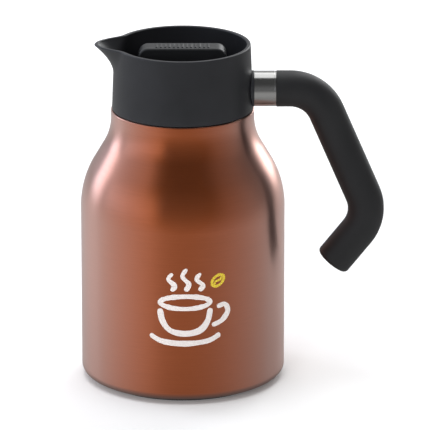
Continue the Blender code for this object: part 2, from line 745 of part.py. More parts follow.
def cap_pieces(group, plastic, steel, silicone):
    """The cap and what holds it: a screw up its stem, a washer and a spring under the housing's pillar."""
    cap_knob(group, plastic)
    washer_top = STEM_Z - GAP
    washer_z = washer_top - SPINDLE_WASHER
    washer = ring(SPINDLE_SCREW_R + GAP, PILLAR_R, washer_z, washer_top, SMALL_ROUND)
    add_part("spindle_washer", washer, steel, group)
    head_top = washer_z - GAP
    screw = [
        (0, head_top - SPINDLE_HEAD),
        (SPINDLE_HEAD_R, head_top - SPINDLE_HEAD),
        (SPINDLE_HEAD_R, head_top),
        (SPINDLE_SCREW_R, head_top),
        (SPINDLE_SCREW_R, SPINDLE_SCREW_TOP_Z),
        (0, SPINDLE_SCREW_TOP_Z),
    ]
    add_part("spindle_screw", turned(screw, SMALL_ROUND), steel, group)
    spring = ring(STEM_R + SPRING_CLEAR, PILLAR_R, washer_top + GAP, PILLAR_Z - GAP, SMALL_ROUND)
    add_part("wave_spring", spring, steel, group)
    middle_r, thickness = STEM_SEAL_R
    seal = arc((middle_r, STEM_SEAL_Z), thickness, 0, 300, 5)
    add_part("stem_seal", turned(seal, SMALL_ROUND), silicone, group)


def main():
    for obj in list(bpy.data.objects):
        bpy.data.objects.remove(obj)
    groups = {}
    for name in ("body", "plug", "cap"):
        groups[name] = bpy.data.objects.new(f"{name}_group", None)
        bpy.context.scene.collection.objects.link(groups[name])
    copper = make_material("copper_steel", (0.60, 0.27, 0.16), 0.32, 1.0)
    steel = make_material("steel", (0.62, 0.61, 0.60), 0.30, 1.0)
    brass = make_material("brass", (0.72, 0.55, 0.25), 0.35, 1.0)
    black = make_material("black_plastic", (0.030, 0.031, 0.034), 0.42)
    soft = make_material("soft_grip", (0.026, 0.026, 0.028), 0.62)
    silicone = make_material("silicone", (0.06, 0.06, 0.065), 0.55)
    insulation = make_material("insulation", (0.85, 0.82, 0.74), 0.90)

    body, plug, cap = groups["body"], groups["plug"], groups["cap"]
    outer_shell(body, copper)
    inner_vessel(body, steel)
    base_pieces(body, steel, silicone, brass)
    collar_pieces(body, black, silicone)
    handle_root_washer(body, black)
    handle_core(body, steel)
    handle_grip(body, soft)
    handle_fasteners(body, steel, brass)
    plug_pieces(plug, black, silicone, insulation)
    cap_pieces(cap, black, steel, silicone)


main()
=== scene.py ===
"""Looks of the insulated serving jug: fine meshes, materials and a plain studio round the CAD frame.

Lengths here are in millimetres and angles in degrees, as in the CAD source; add_piece() turns them into
metres. The origin is the centre of the base, +Z is up, the spout points to -X and the handle to +X.
"""

from math import atan2, ceil, cos, degrees, dist, pi, radians, sin, sqrt, tan, tau

import bmesh
import bpy
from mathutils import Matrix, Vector


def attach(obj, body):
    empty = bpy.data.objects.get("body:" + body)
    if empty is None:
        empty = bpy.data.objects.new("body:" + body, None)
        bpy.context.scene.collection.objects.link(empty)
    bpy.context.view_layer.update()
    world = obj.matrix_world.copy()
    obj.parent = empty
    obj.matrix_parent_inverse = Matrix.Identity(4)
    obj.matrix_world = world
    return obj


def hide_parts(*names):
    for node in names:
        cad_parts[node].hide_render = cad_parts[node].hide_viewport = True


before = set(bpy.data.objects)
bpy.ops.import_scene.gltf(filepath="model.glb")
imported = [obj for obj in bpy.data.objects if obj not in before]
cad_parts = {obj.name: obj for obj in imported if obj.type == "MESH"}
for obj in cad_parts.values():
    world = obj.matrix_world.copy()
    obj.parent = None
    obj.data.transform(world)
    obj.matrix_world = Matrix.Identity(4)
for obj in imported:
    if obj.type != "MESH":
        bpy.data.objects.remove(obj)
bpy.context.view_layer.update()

MM = 0.001
ROUND = 192  # facets round the body
SMALL_ROUND = 96  # facets round rods and tubes
TINY = 1e-6
SHARP_ANGLE = 32  # edges that turn by more than this stay hard
ARC_STEP = 9.0  # degrees of turn between points of a rounded corner
GAP = 0.3  # between pieces that fit together
TOUCH = 0.02  # between pieces whose gap would let light through
AT_ORIGIN = ((0, 0, 0), (0, 0, 0))

# Steel body
BODY_R = 62.0
OUTER_WALL = 0.9
BASE_Z = 2.2
BASE_FILLET = 5.3
BASE_OPENING_R = 54.0
FOOT_R = 53.6
OUTER_SHOULDER = {"start_z": 107.8, "convex": 56.7, "turn": 30.6, "straight": 11.6, "concave": 34.6}
NECK_TOP_Z = 169.0
NECK_EDGE = 0.6
COLLAR_SEAT_R = 38.0
SEAT_TOP_Z = 185.9
GROOVE_DEPTH = 0.7
GROOVE_Z = 176.2
GROOVE_HALF = 1.0

# Inner vessel
VESSEL_R = 57.0
INNER_WALL = 0.8
VESSEL_FLOOR_Z = 12.0
VESSEL_FILLET = 8.0
INNER_SHOULDER = {"start_z": 104.0, "convex": 52.0, "turn": 31.0, "straight": 20.4, "concave": 30.0}
MOUTH_TOP_Z = 187.0
MOUTH_LIP_R = 38.2
MOUTH_CLEAR_R = 34.4

# Collar and spout
COLLAR_Z = 169.4
TOP_Z = 209.5
COLLAR_FOOT_R = 42.8
COLLAR_RIM_R = 41.2
COLLAR_WALL = 2.5
COLLAR_BORE_R = 39.9
COLLAR_STEP_Z = 190.2
SPOUT_Z = 192.0
SPOUT_REACH = 12.8
SPOUT_CURVE = 1.72
SPOUT_SPREAD_LOW = 18.0
SPOUT_SPREAD_RIM = 30.0
LINER_R = 39.6
LINER_WALL = 1.0
LINER_FLOOR_Z = 188.5
LINER_FLOOR = 1.1

# Handle
HANDLE_Z = 181.3
ROOT_R = 11.0
ROOT_X = 43.3
ROOT_DEPTH = 5.0
FERRULE_R = 10.8
FERRULE_WALL = 1.1
FERRULE_END_X = 56.3
GRIP_R = 11.0
GRIP_BORE_R = 7.8
GRIP_EDGE = 2.5
GRIP_BORE_END_GAP = 3.0
BEND_R = 24.0
BEND_1_X = 80.8
LEG_1_LEAN = 23.4
LEG_1_DROP = 79.6
LEG_2_LEAN = 38.5
LEG_2_DROP = 30.5
SCREW_R = 2.9
SCREW_HEAD_R = 5.4
SCREW_POCKET_X = 41.0
HEAD_CLEAR = 0.5
PIN_R = 0.9
PIN_OFFSET = 7.6
THROUGH_START, THROUGH_END = 30.0, 60.0

# Stopper
FLANGE_Z = 189.9
FLANGE_TOP_Z = 191.1
FLANGE_R = 37.5
PLUG_R = 32.6
PLUG_WALL = 2.6
PLUG_BOTTOM_Z = 158.3
DECK = 1.5
SEAL_Z = 173.1
SEAL_HALF = 4.8
SEAL_GROOVE = 1.2
SEAL_STANDS_OUT = 0.3
SEAL_LIP = 1.1
COVER = 1.4
VALVE_GASKET_R = (6.5, 34.6)
STEM_R = 5.0
PILLAR_R = 7.3
PILLAR_Z = 184.0
CHANNEL_X = 24.0
CHANNEL_HALF_X = 5.0
CHANNEL_HALF_Y = 9.0
CHANNEL_CORNER = 4.5
CHANNEL_WALL = 1.5
STOP_R = 35.9
STOP_PIN_R = 0.8
STOP_ANGLE = 225.0
CAP_TRAVEL = 90.0

# Cap
CAP_Z = 192.5
CAP_TOP_Z = 194.0
CAP_R = 36.8
BAR_HALF_X = 26.6
BAR_HALF_Y = 6.8
BAR_TOP_Z = 208.5
BAR_CORNER = 6.0
BAR_BEVEL = 1.2
STEM_Z = 181.5
STEM_SEAL_Z = 187.1
STEM_GROOVE_R = 3.9
SPINDLE_SCREW_R = 1.5
SPINDLE_HOLE_TOP_Z = 197.0
RIBS = 13
RIB_PITCH = 2.6
RIB_WIDTH = 1.3
RIB_HEIGHT = 0.45
RIB_HALF_Y = 4.2
RIB_SLOPE = 0.18

# Print on the body: a steaming cup, drawn with a brush
PRINT_X = 4.2
PRINT_Z = 38.0
CUP_U = -2.5  # the cup's middle, from the middle of the print
INK_LOW, INK_HIGH = 0.012, 0.06  # above the steel

# Lit panels of the studio: centre, half width, low edge, high edge and softness in degrees, then
# brightness. Directions count from the front, towards the handle's side.
PANELS = (
    (-120, 10, -12, 52, 6, 2.2),
    (-66, 36, -20, 24, 9, 0.75),
    (-72, 26, 28, 62, 9, 0.42),
    (150, 16, -12, 52, 6, 2.9),
    (70, 24, -15, 50, 12, 0.1),
)


# ---- outlines and meshes

def polar(radius, angle):
    return radius * cos(angle), radius * sin(angle)


def arc(centre, radius, start, end, steps=None):
    """Points along an arc, counted from the first axis towards the second."""
    steps = steps or max(2, ceil(abs(end - start) / ARC_STEP))
    points = [polar(radius, radians(start + (end - start) * i / steps)) for i in range(steps + 1)]
    return [(centre[0] + x, centre[1] + y) for x, y in points]


def rounded(corners, closed=False):
    """An outline through corners (x, y) or (x, y, radius), where a radius turns the corner to an arc."""
    points = []
    count = len(corners)
    for i, corner in enumerate(corners):
        here = Vector(corner[:2])
        radius = corner[2] if len(corner) > 2 else 0
        if radius == 0 or (not closed and i in (0, count - 1)):
            points.append(tuple(here))
            continue
        back = (Vector(corners[i - 1][:2]) - here).normalized()
        on = (Vector(corners[(i + 1) % count][:2]) - here).normalized()
        half = back.angle(on) / 2
        centre = here + (back + on).normalized() * radius / sin(half)
        first = here + back * radius / tan(half) - centre
        last = here + on * radius / tan(half) - centre
        turn = first.angle_signed(last)
        steps = max(2, ceil(degrees(abs(turn)) / ARC_STEP))
        start = atan2(first.y, first.x)
        for k in range(steps + 1):
            x, y = polar(radius, start - turn * k / steps)
            points.append((centre.x + x, centre.y + y))
    return points


def skin(rings, wrap):
    """A skin between rings of points, each ring closed; a ring of one point is a tip."""
    mesh = bmesh.new()
    loops = [[mesh.verts.new(point) for point in ring] for ring in rings]
    pairs = list(zip(loops, loops[1:]))
    if wrap:
        pairs.append((loops[-1], loops[0]))
    for loop in (loops[0], loops[-1]):
        if not wrap and len(loop) > 1:
            mesh.faces.new(loop)
    for first, second in pairs:
        count = max(len(first), len(second))
        for i in range(count):
            j = (i + 1) % count
            places = ((first, i), (first, j), (second, j), (second, i))
            corners = [ring[k % len(ring)] for ring, k in places]
            mesh.faces.new(list(dict.fromkeys(corners)))
    bmesh.ops.recalc_face_normals(mesh, faces=mesh.faces)
    return mesh


def turned(profile, segments=ROUND):
    """A profile of (radius, height) turned about Z. It starts and ends on the axis, or is a closed loop."""
    rings = []
    for radius, height in profile:
        if radius < TINY:
            rings.append([(0, 0, height)])
            continue
        rings.append([(*polar(radius, tau * i / segments), height) for i in range(segments)])
    return skin(rings, wrap=profile[0][0] > TINY)


def prism(outline, low, high):
    return skin([[(x, y, z) for x, y in outline] for z in (low, high)], wrap=False)


def rod(radius, low, high):
    return turned([(0, low), (radius, low), (radius, high), (0, high)], SMALL_ROUND)


def add_mesh(name, mesh, location=(0, 0, 0), rotation=(0, 0, 0)):
    data = bpy.data.meshes.new(name)
    mesh.to_mesh(data)
    mesh.free()
    obj = bpy.data.objects.new(name, data)
    obj.location = location
    obj.rotation_euler = [radians(value) for value in rotation]
    bpy.context.scene.collection.objects.link(obj)
    return obj


def evaluated(obj):
    """The object's mesh with its modifiers applied, in the frame's own axes."""
    bpy.context.view_layer.update()
    graph = bpy.context.evaluated_depsgraph_get()
    data = bpy.data.meshes.new_from_object(obj.evaluated_get(graph))
    data.transform(obj.matrix_world)
    return data


def add_piece(name, mesh, material, body, node, slot, tools=(), location=(0, 0, 0), rotation=(0, 0, 0)):
    """A finished piece that rides on a body and stands for a CAD node.

    tools are (operation, mesh, location, rotation) of the shapes that are joined to it or cut away."""
    blank = add_mesh(name + "_blank", mesh, location, rotation)
    shapes = []
    for operation, shape, place, turn in tools:
        shapes.append(add_mesh(f"{name}_tool_{len(shapes)}", shape, place, turn))
        boolean = blank.modifiers.new("tool", "BOOLEAN")
        boolean.operation = operation
        boolean.object = shapes[-1]
        boolean.solver = "EXACT"
    data = evaluated(blank)
    for obj in [blank, *shapes]:
        bpy.data.objects.remove(obj)
    data.name = name
    data.transform([[MM, 0, 0, 0], [0, MM, 0, 0], [0, 0, MM, 0], [0, 0, 0, 1]])
    data.shade_smooth()
    data.set_sharp_from_angle(angle=radians(SHARP_ANGLE))
    data.materials.clear()
    data.materials.append(material)
    piece = bpy.data.objects.new(name, data)
    bpy.context.scene.collection.objects.link(piece)
    weighted = piece.modifiers.new("flat faces stay flat", "WEIGHTED_NORMAL")
    weighted.keep_sharp = True
    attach(piece, body)
    if node:
        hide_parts(node)
    return piece


ALONG_X = ((0, 0, HANDLE_Z), (0, 90, 0))


def cut(mesh, place=AT_ORIGIN):
    return ("DIFFERENCE", mesh, *place)


def join(mesh, place=AT_ORIGIN):
    return ("UNION", mesh, *place)


# ---- materials

class Look:
    """A Principled material and the nodes that feed it. Sizes are in millimetres."""

    def __init__(self, name, colour, roughness, metallic=0.0, **sockets):
        self.material = bpy.data.materials.new(name)
        self.material.use_nodes = True
        self.tree = self.material.node_tree
        self.shader = self.tree.nodes["Principled BSDF"]
        self.shader.inputs["Base Color"].default_value = (*colour, 1.0)
        self.shader.inputs["Roughness"].default_value = roughness
        self.shader.inputs["Metallic"].default_value = metallic
        for socket, value in sockets.items():
            self.shader.inputs[socket.replace("_", " ")].default_value = value
        self.place = self.tree.nodes.new("ShaderNodeTexCoord").outputs["Object"]
        self.normal = None

    def node(self, kind, **settings):
        made = self.tree.nodes.new(kind)
        for key, value in settings.items():
            setattr(made, key, value)
        return made

    def link(self, source, target):
        self.tree.links.new(source, target)

    def texture(self, kind, size, stretch):
        mapping = self.node("ShaderNodeMapping")
        mapping.inputs["Scale"].default_value = [1 / (size * MM * s) for s in stretch]
        self.link(self.place, mapping.inputs["Vector"])
        made = self.node(kind)
        made.inputs["Scale"].default_value = 1.0
        self.link(mapping.outputs["Vector"], made.inputs["Vector"])
        return made

    def noise(self, size, stretch=(1, 1, 1), detail=3.0, roughness=0.55):
        """Noise whose features are about size across, drawn out along each axis by stretch."""
        noise = self.texture("ShaderNodeTexNoise", size, stretch)
        noise.inputs["Detail"].default_value = detail
        noise.inputs["Roughness"].default_value = roughness
        return noise.outputs["Fac"]

    def cells(self, size):
        """Distance from the middles of rounded cells about size across."""
        return self.texture("ShaderNodeTexVoronoi", size, (1, 1, 1)).outputs["Distance"]

    def between(self, factor, low=0.0, high=1.0, start=0.3, end=0.7):
        """A number from low to high as the factor goes from start to end."""
        spread = self.node("ShaderNodeMapRange")
        for socket, value in (("From Min", start), ("From Max", end), ("To Min", low), ("To Max", high)):
            spread.inputs[socket].default_value = value
        self.link(factor, spread.inputs["Value"])
        return spread.outputs["Result"]

    def blend(self, factor, low, high):
        """A colour between two, or between what a socket gives and a colour."""
        mix = self.node("ShaderNodeMix", data_type="RGBA")
        self.link(factor, mix.inputs["Factor"])
        for value, socket in ((low, mix.inputs[6]), (high, mix.inputs[7])):
            if isinstance(value, tuple):
                socket.default_value = (*value, 1.0)
            else:
                self.link(value, socket)
        return mix.outputs[2]

    def colour(self, source):
        self.link(source, self.shader.inputs["Base Color"])

    def roughness(self, source):
        self.link(source, self.shader.inputs["Roughness"])

    def bump(self, height, depth, strength=1.0):
        """Adds relief about depth millimetres deep."""
        bump = self.node("ShaderNodeBump")
        bump.inputs["Distance"].default_value = depth * MM
        bump.inputs["Strength"].default_value = strength
        self.link(height, bump.inputs["Height"])
        if self.normal:
            self.link(self.normal, bump.inputs["Normal"])
        self.normal = bump.outputs["Normal"]
        self.link(self.normal, self.shader.inputs["Normal"])

    def brushed(self, axis):
        """Turns the stretched reflection square to scratches that run round an axis."""
        tangent = self.node("ShaderNodeTangent", direction_type="RADIAL", axis=axis)
        self.link(tangent.outputs["Tangent"], self.shader.inputs["Tangent"])

    def facing(self):
        """0 where the surface is seen square on, 1 where it is seen edge on."""
        return self.node("ShaderNodeLayerWeight").outputs["Facing"]

    def edges(self, low=0.5, high=0.56):
        """1 along sharp outer edges, where a piece is rubbed."""
        geometry = self.node("ShaderNodeNewGeometry")
        return self.between(geometry.outputs["Pointiness"], 0.0, 1.0, low, high)


def copper_look():
    """Brushed steel under a copper lacquer, with a sheen painted into its colour where it is seen edge on."""
    look = Look(
        "brushed_copper", (0.60, 0.15, 0.05), 0.31, 1.0,
        Anisotropic=0.75, Anisotropic_Rotation=0.25,
        Coat_Weight=0.7, Coat_Roughness=0.28,
    )
    look.brushed("Z")
    streaks = look.noise(0.45, (40, 40, 1), 4.0, 0.7)
    hairs = look.noise(0.12, (90, 90, 1), 2.0)
    cloud = look.noise(38, (1, 1, 1.6), 2.0)
    brushing = look.between(streaks, start=0.35, end=0.65)
    tone = look.blend(brushing, (0.66, 0.152, 0.036), (0.62, 0.138, 0.030))
    tone = look.blend(look.between(cloud, 0.0, 0.35), tone, (0.62, 0.142, 0.035))
    # Painted sheen: the base colour turns pale pink where the surface is seen edge on.
    painted_sheen = look.between(look.facing(), 0.0, 0.37, 0.04, 0.5)
    look.colour(look.blend(painted_sheen, tone, (0.90, 0.86, 0.85)))
    look.roughness(look.between(streaks, 0.28, 0.34))
    look.bump(streaks, 0.004, 0.5)
    look.bump(hairs, 0.002, 0.5)
    return look.material


def steel_look(
    name, axis, colour=(0.60, 0.59, 0.575), roughness=0.28, grain=0.3, along=(40, 40, 1), contrast=1.0,
):
    """Steel with fine scratches that run round an axis."""
    look = Look(name, colour, roughness, 1.0, Anisotropic=0.7, Anisotropic_Rotation=0.25)
    look.brushed(axis)
    streaks = look.noise(grain, along, 4.0, 0.65)
    darker = tuple(value * (1 - 0.14 * contrast) for value in colour)
    look.colour(look.blend(look.between(streaks), colour, darker))
    look.roughness(look.between(streaks, roughness - 0.05 * contrast, roughness + 0.06 * contrast))
    look.bump(streaks, 0.006 * contrast, 0.5)
    return look.material


def plastic_look(name, colour, roughness, grain, depth):
    """Moulded plastic with a fine eroded grain, a little polished along its edges."""
    look = Look(name, colour, roughness, Specular_IOR_Level=0.5)
    sand = look.noise(grain, detail=3.0, roughness=0.6)
    haze = look.noise(22, detail=2.0)
    lighter = tuple(value * 1.35 + 0.003 for value in colour)
    tone = look.blend(look.between(haze, 0.0, 0.6), colour, lighter)
    rubbed = tuple(value * 1.9 + 0.004 for value in colour)
    look.colour(look.blend(look.edges(), tone, rubbed))
    look.roughness(look.between(sand, roughness - 0.05, roughness + 0.07))
    look.bump(sand, depth, 0.6)
    return look.material


def soft_touch_look():
    """Matt soft-touch rubber, rubbed a little unevenly."""
    look = Look("soft_touch_grip", (0.013, 0.013, 0.014), 0.56)
    powder = look.noise(0.16, detail=4.0, roughness=0.7)
    rubbed = look.noise(16, (1, 1, 1.8), 3.0)
    wear = look.between(rubbed)
    look.colour(look.blend(wear, (0.0115, 0.0115, 0.0125), (0.016, 0.016, 0.017)))
    look.roughness(look.between(rubbed, 0.50, 0.60))
    look.bump(powder, 0.018, 0.5)
    return look.material


def silicone_look(name, colour, roughness=0.5):
    """Silicone or rubber, with a dusty bloom."""
    look = Look(name, colour, roughness, Subsurface_Weight=0.05, Subsurface_Scale=0.002)
    dust = look.noise(0.5, detail=4.0, roughness=0.7)
    lighter = tuple(value * 1.25 + 0.004 for value in colour)
    look.colour(look.blend(look.between(dust), colour, lighter))
    look.roughness(look.between(dust, roughness - 0.06, roughness + 0.10))
    look.bump(dust, 0.012, 0.4)
    return look.material


def brass_look():
    look = Look("turned_brass", (0.70, 0.50, 0.20), 0.32, 1.0)
    rings = look.noise(0.25, (1, 20, 20), 3.0)
    look.colour(look.blend(look.between(rings), (0.74, 0.54, 0.23), (0.58, 0.40, 0.15)))
    look.roughness(look.between(rings, 0.25, 0.40))
    look.bump(rings, 0.010, 0.5)
    return look.material


def foam_look():
    """Moulded foam: round beads pressed together."""
    look = Look("bead_foam", (0.86, 0.84, 0.78), 0.9)
    beads = look.cells(2.2)
    look.colour(look.blend(look.between(beads, start=0.2, end=0.7), (0.88, 0.86, 0.80), (0.66, 0.63, 0.56)))
    look.bump(beads, -0.25, 0.8)
    return look.material


def ink_look(name, colour, shade):
    """Screen-printed ink: nearly even, with a soft edge and pinholes."""
    look = Look(name, colour, 0.38, Coat_Weight=0.2, Coat_Roughness=0.3)
    mottle = look.noise(1.1, detail=4.0, roughness=0.6)
    look.colour(look.blend(look.between(mottle, start=0.45, end=0.75), colour, shade))
    look.roughness(look.between(mottle, 0.32, 0.46))
    look.bump(look.noise(0.3, detail=2.0), 0.006, 0.4)
    return look.material


# ---- the body

def shoulder(radius, wall, start_z, convex, turn, straight, concave):
    """The curve from a cylinder up to its neck, moved inwards by a wall: out, straight, then in."""
    steps = 20
    sine, cosine = sin(radians(turn)), cos(radians(turn))
    low = arc((radius - convex, start_z), convex - wall, 0, turn, steps)
    hollow_centre = (
        radius - convex * (1 - cosine) - straight * sine + concave * cosine,
        start_z + convex * sine + straight * cosine + concave * sine,
    )
    return low + arc(hollow_centre, concave + wall, 180 + turn, 180, steps)


def body_wall():
    """Heights of a few rings up the straight wall, so that its facets stay well shaped."""
    count = 8
    low = BASE_Z + BASE_FILLET
    high = OUTER_SHOULDER["start_z"]
    return [low + (high - low) * i / count for i in range(1, count)]


def jug_body(material):
    outside = shoulder(BODY_R, 0, **OUTER_SHOULDER)
    inside = shoulder(BODY_R, OUTER_WALL, **OUTER_SHOULDER)
    neck_r = outside[-1][0]
    fillet_centre = (BODY_R - BASE_FILLET, BASE_Z + BASE_FILLET)
    inner_seat_r = COLLAR_SEAT_R - OUTER_WALL
    groove_foot = GROOVE_Z - GROOVE_HALF - GROOVE_DEPTH
    groove_head = GROOVE_Z + GROOVE_HALF + GROOVE_DEPTH
    edge = 0.3
    profile = [(BASE_OPENING_R, BASE_Z)]
    profile += arc(fillet_centre, BASE_FILLET, -90, 0)
    profile += [(BODY_R, z) for z in body_wall()]
    profile += outside
    profile += arc((neck_r - NECK_EDGE, NECK_TOP_Z - NECK_EDGE), NECK_EDGE, 0, 90, 6)
    profile += rounded([
        (COLLAR_SEAT_R + 1, NECK_TOP_Z),
        (COLLAR_SEAT_R, NECK_TOP_Z, 0.4),
        (COLLAR_SEAT_R, groove_foot, edge),
        (COLLAR_SEAT_R - GROOVE_DEPTH, GROOVE_Z - GROOVE_HALF, edge),
        (COLLAR_SEAT_R - GROOVE_DEPTH, GROOVE_Z + GROOVE_HALF, edge),
        (COLLAR_SEAT_R, groove_head, edge),
        (COLLAR_SEAT_R, SEAT_TOP_Z),
        (inner_seat_r, SEAT_TOP_Z),
        (inner_seat_r, groove_head),
        (inner_seat_r - GROOVE_DEPTH, GROOVE_Z + GROOVE_HALF),
        (inner_seat_r - GROOVE_DEPTH, GROOVE_Z - GROOVE_HALF),
        (inner_seat_r, groove_foot),
        (inner_seat_r, NECK_TOP_Z - OUTER_WALL),
        (neck_r - OUTER_WALL, NECK_TOP_Z - OUTER_WALL),
    ])
    profile += reversed(inside)
    profile += [(BODY_R - OUTER_WALL, z) for z in reversed(body_wall())]
    profile += reversed(arc(fillet_centre, BASE_FILLET - OUTER_WALL, -90, 0))
    profile += [(BASE_OPENING_R, BASE_Z + OUTER_WALL)]
    add_piece("jug_body", turned(profile), material, "body", "outer_shell", "copper_shell")


def inner_flask(material):
    outside = shoulder(VESSEL_R, 0, **INNER_SHOULDER)
    inside = shoulder(VESSEL_R, INNER_WALL, **INNER_SHOULDER)
    neck_r = outside[-1][0]
    fillet_centre = (VESSEL_R - VESSEL_FILLET, VESSEL_FLOOR_Z + VESSEL_FILLET)
    floor_rings = [VESSEL_R * share for share in (0.2, 0.5)]
    lip_foot, lip_low = MOUTH_TOP_Z - 4, MOUTH_TOP_Z - INNER_WALL
    edge, bend = 0.3, 0.5
    profile = [(0, VESSEL_FLOOR_Z)]
    profile += [(radius, VESSEL_FLOOR_Z) for radius in floor_rings]
    profile += arc(fillet_centre, VESSEL_FILLET, -90, 0)
    profile += outside
    profile += rounded([
        (neck_r, lip_foot),
        (neck_r, lip_low, 0.6),
        (MOUTH_LIP_R, lip_low, edge),
        (MOUTH_LIP_R, MOUTH_TOP_Z, edge),
        (neck_r, MOUTH_TOP_Z, bend),
        (neck_r - INNER_WALL, lip_low, bend),
        (neck_r - INNER_WALL, lip_foot),
    ])
    profile += reversed(inside)
    profile += reversed(arc(fillet_centre, VESSEL_FILLET - INNER_WALL, -90, 0))
    profile += [(radius, VESSEL_FLOOR_Z + INNER_WALL) for radius in reversed(floor_rings)]
    profile += [(0, VESSEL_FLOOR_Z + INNER_WALL)]
    add_piece("inner_flask", turned(profile), material, "body", "inner_vessel", "steel")


def base_pad(material):
    """A rubber pad that stands on a ribbed ring, with a shallow recess in its middle."""
    top = BASE_Z + OUTER_WALL
    recess_r, recess = 38.0, 0.7
    groove, groove_width, pitch, grooves, first = 0.5, 1.2, 3.0, 4, 2.4
    edge, lean = 0.15, 0.2
    corners = [(0, recess), (recess_r, recess, 0.3), (recess_r + 0.6, 0, 0.2)]
    for i in range(grooves):
        start = recess_r + first + pitch * i
        corners += [
            (start, 0, edge),
            (start + lean, groove, edge),
            (start + groove_width - lean, groove, edge),
            (start + groove_width, 0, edge),
        ]
    corners += [(FOOT_R, 0, 0.8), (FOOT_R, top, 0.3), (recess_r, top), (0, top)]
    add_piece("base_pad", turned(rounded(corners)), material, "body", "base_foot", "foot_rubber")


# ---- the collar

def collar_radius(angle, z):
    """The collar's outer radius, which swells into the spout about 180 degrees."""
    share = (z - COLLAR_Z) / (TOP_Z - COLLAR_Z)
    radius = COLLAR_FOOT_R + (COLLAR_RIM_R - COLLAR_FOOT_R) * share
    rise = max(0.0, (z - SPOUT_Z) / (TOP_Z - SPOUT_Z))
    spread = SPOUT_SPREAD_LOW + (SPOUT_SPREAD_RIM - SPOUT_SPREAD_LOW) * rise
    off_spout = abs(angle - 180)
    if off_spout < spread:
        radius += SPOUT_REACH * rise**SPOUT_CURVE * cos(radians(90 * off_spout / spread)) ** 2
    return radius


def collar_angles():
    """Angles round the collar, closer together across the spout."""
    coarse, fine = 2.5, 1.0
    angles, angle = [], 0.0
    while angle < 360 - TINY:
        angles.append(angle)
        angle += fine if abs(angle + fine / 2 - 180) < SPOUT_SPREAD_RIM + coarse else coarse
    return angles


def collar_ring(z, inset, from_z=None):
    """A ring at height z, inset from the outer skin as it stands at from_z."""
    points = []
    for angle in collar_angles():
        radius = collar_radius(angle, z if from_z is None else from_z) - inset
        points.append((*polar(radius, radians(angle)), z))
    return points


def plain_ring(radius, z):
    return [(*polar(radius, radians(angle)), z) for angle in collar_angles()]


def collar(material):
    """The collar as rings: up its outside, over the rim and down its inside."""
    foot_edge, rim_edge = 0.5, 0.75
    wall_steps, spout_steps, crowding = 6, 18, 0.85
    foot_z, skin_top = COLLAR_Z + foot_edge, TOP_Z - rim_edge
    wall_levels = [
        foot_z + (SPOUT_Z - COLLAR_Z - foot_edge) * i / wall_steps for i in range(wall_steps + 1)
    ]
    spout_levels = [
        SPOUT_Z + (skin_top - SPOUT_Z) * (i / spout_steps) ** crowding for i in range(1, spout_steps + 1)
    ]
    rings = [plain_ring(COLLAR_BORE_R, COLLAR_Z)]
    for depth, drop in arc((foot_edge, foot_edge), foot_edge, 270, 180, 5):
        rings.append(collar_ring(COLLAR_Z + drop, depth, foot_z))
    rings += [collar_ring(z, 0.0) for z in wall_levels[1:] + spout_levels]
    for depth, rise in arc((rim_edge, 0), rim_edge, 180, 90, 6)[1:]:
        rings.append(collar_ring(skin_top + rise, depth, skin_top))
    for depth, rise in arc((COLLAR_WALL - rim_edge, 0), rim_edge, 90, 0, 6):
        rings.append(collar_ring(skin_top + rise, depth, skin_top))
    rings += [collar_ring(z, COLLAR_WALL) for z in reversed(spout_levels[:-1])]
    rings += [collar_ring(SPOUT_Z, COLLAR_WALL), collar_ring(COLLAR_STEP_Z, COLLAR_WALL)]
    rings += [plain_ring(COLLAR_BORE_R, COLLAR_STEP_Z)]
    tools = [
        cut(rod(SCREW_R + GAP, THROUGH_START, THROUGH_END), ALONG_X),
        cut(rod(SCREW_HEAD_R + HEAD_CLEAR, THROUGH_START, SCREW_POCKET_X), ALONG_X),
    ]
    tools += pin_cuts(SCREW_POCKET_X, THROUGH_END)
    add_piece("collar", skin(rings, wrap=True), material, "body", "collar_shell", "black_plastic", tools)


def pin_cuts(start, end):
    places = [((0, 0, HANDLE_Z + side * PIN_OFFSET), (0, 90, 0)) for side in (-1, 1)]
    return [cut(rod(PIN_R + GAP, start, end), place) for place in places]


def collar_sleeve(material):
    """The liner inside the collar: its bead snaps into the steel neck, its floor is the well's ledge."""
    inner_r = LINER_R - LINER_WALL
    bead_r = COLLAR_SEAT_R - GROOVE_DEPTH + 0.4
    foot_z = COLLAR_Z + GAP
    floor_top = LINER_FLOOR_Z + LINER_FLOOR
    bead_half, bead_slope = 0.5, 0.9
    edge, top_edge, foot_edge = 0.3, 0.4, 0.2
    profile = rounded([
        (LINER_R, foot_z, foot_edge),
        (LINER_R, floor_top, top_edge),
        (MOUTH_CLEAR_R, floor_top, top_edge),
        (MOUTH_CLEAR_R, LINER_FLOOR_Z, foot_edge),
        (inner_r, LINER_FLOOR_Z, edge),
        (inner_r, GROOVE_Z + bead_half + bead_slope, edge),
        (bead_r, GROOVE_Z + bead_half, edge),
        (bead_r, GROOVE_Z - bead_half, edge),
        (inner_r, GROOVE_Z - bead_half - bead_slope, edge),
        (inner_r, foot_z, foot_edge),
    ], closed=True)
    tools = [cut(rod(SCREW_HEAD_R + HEAD_CLEAR, THROUGH_START, THROUGH_END), ALONG_X)]
    add_piece("collar_sleeve", turned(profile), material, "body", "collar_liner", "black_plastic", tools)


# ---- the handle

